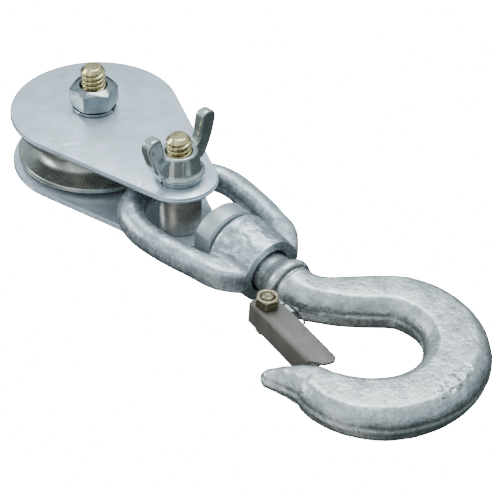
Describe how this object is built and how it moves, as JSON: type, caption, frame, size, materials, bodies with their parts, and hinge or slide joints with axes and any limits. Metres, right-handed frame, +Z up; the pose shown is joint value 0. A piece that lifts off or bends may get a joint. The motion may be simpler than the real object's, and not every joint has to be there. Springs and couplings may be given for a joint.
{
  "type": "snatch block",
  "caption": "Single-sheave snatch block: grooved sheave between two teardrop cheek plates, wing-nut shackle bolt, forged swivel yoke and latched swivel hook.",
  "frame": {"origin": "centre of the sheave bolt's head, on the surface that the block lies on", "axes": "+X from the sheave bolt to the shackle bolt, along the block; +Z up along the bolts"},
  "size_m": [0.2972, 0.1057, 0.0676],
  "materials": {
    "zinc_plate": "bright zinc plated, satin with faint handling marks",
    "dull_zinc": "dull zinc plated, turned",
    "turned_steel": "turned and ground",
    "bearing_bronze": "machined bronze, oiled",
    "yellow_zinc": "yellow passivated zinc, rolled thread",
    "bright_zinc": "bright zinc plated",
    "bright_zinc_wing": "bright zinc plated, forged",
    "dark_steel": "dark oiled steel",
    "galvanised_yoke": "hot-dip galvanised forging, mottled and slightly pitted",
    "galvanised_hook": "hot-dip galvanised forging, mottled and slightly pitted",
    "galvanised_nut": "hot-dip galvanised, smooth",
    "pin_steel": "bare spring steel",
    "latch_steel": "pressed sheet, dull zinc plated",
    "latch_zinc": "yellow passivated zinc",
    "spring_wire": "black oiled spring wire"
  },
  "bodies": {
    "cheek_frame": {"lower_cheek_plate": "zinc_plate", "upper_cheek_plate": "zinc_plate", "sheave_bolt": "yellow_zinc", "sheave_lock_nut": "bright_zinc", "sheave_lock_washer": "bright_zinc", "shackle_bolt": "yellow_zinc", "sheave_axle_sleeve": "turned_steel", "lower_thrust_washer": "bearing_bronze", "upper_thrust_washer": "bearing_bronze"},
    "sheave_wheel": {"sheave": "dull_zinc", "sheave_bush": "bearing_bronze"},
    "yoke_spacer": {"shackle_spacer_bush": "dark_steel"},
    "yoke_loop": {"swivel_yoke": "galvanised_yoke", "swivel_thrust_washer": "bright_zinc"},
    "swivel_hook": {"hook": "galvanised_hook", "shank_nut": "galvanised_nut", "shank_nut_pin": "pin_steel", "latch_bolt": "latch_zinc", "latch_nut": "latch_zinc", "latch_spring": "spring_wire"},
    "hook_latch": {"latch": "latch_steel"},
    "wing_washer": {"shackle_lock_washer": "bright_zinc"},
    "wing_fastener": {"wing_nut": "bright_zinc_wing"}
  },
  "joints": [
    {"name": "sheave_spin", "type": "hinge", "parent": "cheek_frame", "child": "sheave_wheel", "pos_m": [0, 0, 0.02305], "axis": [0, 0, 1], "continuous": true},
    {"name": "yoke_swing", "type": "hinge", "parent": "cheek_frame", "child": "yoke_spacer", "pos_m": [0.0732, 0, 0.02305], "axis": [0, 0, 1], "range_deg": [-98, 86]},
    {"name": "yoke_pitch", "type": "hinge", "parent": "yoke_spacer", "child": "yoke_loop", "pos_m": [0.0732, 0, 0.02305], "axis": [-0.1045, 0.9945, 0], "range_deg": [-15, 6.5]},
    {"name": "hook_swivel", "type": "hinge", "parent": "yoke_loop", "child": "swivel_hook", "pos_m": [0.12279, 0.00521, 0.01935], "axis": [0.9918, 0.1042, -0.074], "continuous": true},
    {"name": "latch_open", "type": "hinge", "parent": "swivel_hook", "child": "hook_latch", "pos_m": [0.15998, -0.0128, 0.01675], "axis": [0.0736, 0.0077, 0.9973], "range_deg": [0, 44], "stiffness_Nm_per_rad": 0.12, "springref_deg": -40.11},
    {"name": "wing_nut_turn", "type": "hinge", "parent": "cheek_frame", "child": "wing_washer", "pos_m": [0.0732, 0, 0.04], "axis": [0, 0, 1], "range_deg": [0, 2850]},
    {"name": "wing_nut_rise", "type": "slide", "parent": "wing_washer", "child": "wing_fastener", "axis": [0, 0, 1], "range_m": [0, 0.0199]}
  ],
  "couplings": [
    {"joint": "wing_nut_rise", "follows": "wing_nut_turn", "m_per_rad": 0.00039789}
  ]
}
